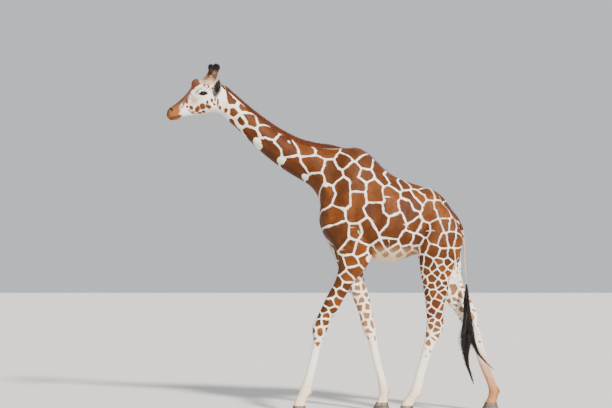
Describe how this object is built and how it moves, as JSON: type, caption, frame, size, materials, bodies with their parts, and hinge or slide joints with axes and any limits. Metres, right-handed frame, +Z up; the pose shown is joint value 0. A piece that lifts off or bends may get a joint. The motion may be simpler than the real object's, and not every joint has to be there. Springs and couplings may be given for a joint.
{
  "type": "reticulated giraffe",
  "caption": "Life-size reticulated giraffe, still, in mid-stride with its neck reaching forward and up, standing on the flat soles of its hooves.",
  "frame": {"origin": "on the floor, under the middle of the whole animal's bounding box", "axes": "+Z up, -Y forward (the way the animal walks), +X to the animal's left"},
  "size_m": [0.7384, 3.4202, 3.5811],
  "materials": {
    "coat": "short glossy hair lying flat, orange-brown polygons parted by pale lines",
    "pale_coat": "short cream-white hair",
    "mane_hair": "stiff upright reddish-brown hair",
    "dark_hair": "long coarse black hair",
    "horn_skin": "tan haired skin over bone, with black hair round the top",
    "eye": "wet, glossy dark brown eye",
    "hoof": "dark grey-brown horn, worn pale at the edge"
  },
  "bodies": {
    "root": {"head": "coat", "lower_jaw": "pale_coat", "neck": "coat", "trunk": "coat", "mane": "mane_hair", "tail": "pale_coat", "tail_tuft": "dark_hair", "ear_left": "pale_coat", "ear_right": "pale_coat", "eye_left": "eye", "eye_right": "eye", "ossicone_left": "horn_skin", "ossicone_right": "horn_skin", "foreleg_left": "coat", "foreleg_right": "coat", "hindleg_left": "coat", "hindleg_right": "coat", "hoof_fore_left": "hoof", "hoof_fore_right": "hoof", "hoof_hind_left": "hoof", "hoof_hind_right": "hoof"}
  },
  "joints": []
}
